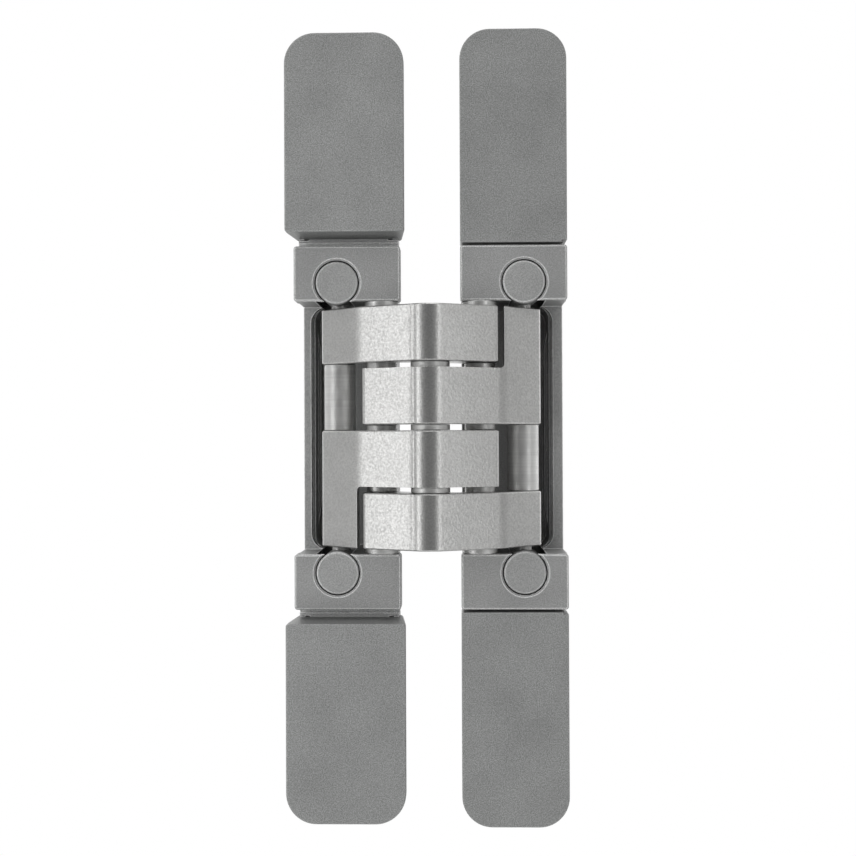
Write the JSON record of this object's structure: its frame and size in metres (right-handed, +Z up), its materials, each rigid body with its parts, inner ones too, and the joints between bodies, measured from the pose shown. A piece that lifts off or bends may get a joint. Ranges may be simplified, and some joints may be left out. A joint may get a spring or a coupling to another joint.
{
  "type": "concealed door hinge",
  "caption": "Concealed invisible door hinge for flush doors: two housings let into frame and door, joined by interleaved link arms with sliding slugs, with cover caps over the screws.",
  "frame": {"origin": "centre of the frame leaf's fixing screw pattern, on the back face of its mounting shoes, which seats in the recess milled in the door frame", "axes": "+Z up along the pins; -Y out of the frame's face, towards the viewer, with the hinge open at 180 degrees; +X from the frame leaf to the door leaf"},
  "size_m": [0.0836, 0.0462, 0.2386],
  "materials": {
    "cast": "satin-finished zinc die casting",
    "cover": "satin-finished metal cover",
    "arm": "satin steel",
    "polished": "polished steel",
    "steel": "turned steel"
  },
  "bodies": {
    "frame_leaf": {"frame_housing": "cast", "frame_pivot_pin": "steel", "frame_pivot_long_bush": "polished", "frame_pivot_middle_bush": "polished", "frame_pivot_end_washer": "steel", "frame_cap_top": "cover", "frame_cap_bottom": "cover", "frame_clamp_screw_top": "steel", "frame_clamp_screw_bottom": "steel", "frame_clamp_washer_top": "steel", "frame_clamp_washer_bottom": "steel", "frame_eccentric_top": "steel", "frame_eccentric_bottom": "steel", "frame_depth_screw_top": "steel", "frame_depth_screw_bottom": "steel", "frame_shoe_top": "cast", "frame_shoe_bottom": "cast"},
    "arm_b": {"link_b_upper": "arm", "link_b_lower": "arm", "centre_pin": "steel", "centre_washer_1": "steel", "centre_washer_2": "steel", "centre_washer_3": "steel"},
    "arm_a": {"link_a_upper": "arm", "link_a_lower": "arm"},
    "door_leaf": {"door_housing": "cast", "door_pivot_pin": "steel", "door_pivot_long_bush": "polished", "door_pivot_middle_bush": "polished", "door_pivot_end_washer": "steel", "door_cap_top": "cover", "door_cap_bottom": "cover", "door_clamp_screw_top": "steel", "door_clamp_screw_bottom": "steel", "door_clamp_washer_top": "steel", "door_clamp_washer_bottom": "steel", "door_eccentric_top": "steel", "door_eccentric_bottom": "steel", "door_depth_screw_top": "steel", "door_depth_screw_bottom": "steel", "door_shoe_top": "cast", "door_shoe_bottom": "cast"},
    "frame_slider": {"frame_slug_top": "steel", "frame_slug_bottom": "steel", "frame_slider_pin": "polished", "frame_slider_sleeve": "polished"},
    "door_slider": {"door_slug_top": "steel", "door_slug_bottom": "steel", "door_slider_pin": "polished", "door_slider_sleeve": "polished"}
  },
  "joints": [
    {"name": "frame_arm_pivot", "type": "hinge", "parent": "frame_leaf", "child": "arm_b", "pos_m": [0.0102, -0.0128, 0], "axis": [0, 0, -1], "range_deg": [0, 115.3]},
    {"name": "centre_pivot", "type": "hinge", "parent": "arm_b", "child": "arm_a", "pos_m": [0.025, -0.021, 0], "axis": [0, 0, -1], "range_deg": [-50.7, 0]},
    {"name": "door_arm_pivot", "type": "hinge", "parent": "arm_a", "child": "door_leaf", "pos_m": [0.0398, -0.0128, 0], "axis": [0, 0, -1], "range_deg": [0, 115.4]},
    {"name": "frame_slider_pivot", "type": "hinge", "parent": "arm_a", "child": "frame_slider", "pos_m": [-0.00305, -0.0072, 0], "axis": [0, 0, -1], "range_deg": [-64.8, 0]},
    {"name": "door_slider_pivot", "type": "hinge", "parent": "arm_b", "child": "door_slider", "pos_m": [0.05305, -0.0072, 0], "axis": [0, 0, -1], "range_deg": [0, 64.8]}
  ],
  "couplings": [
    {"joint": "centre_pivot", "follows": "frame_arm_pivot", "ratio": -0.43887},
    {"joint": "door_arm_pivot", "follows": "frame_arm_pivot", "ratio": 1},
    {"joint": "frame_slider_pivot", "follows": "frame_arm_pivot", "ratio": -0.56113},
    {"joint": "door_slider_pivot", "follows": "frame_arm_pivot", "ratio": 0.56113}
  ]
}
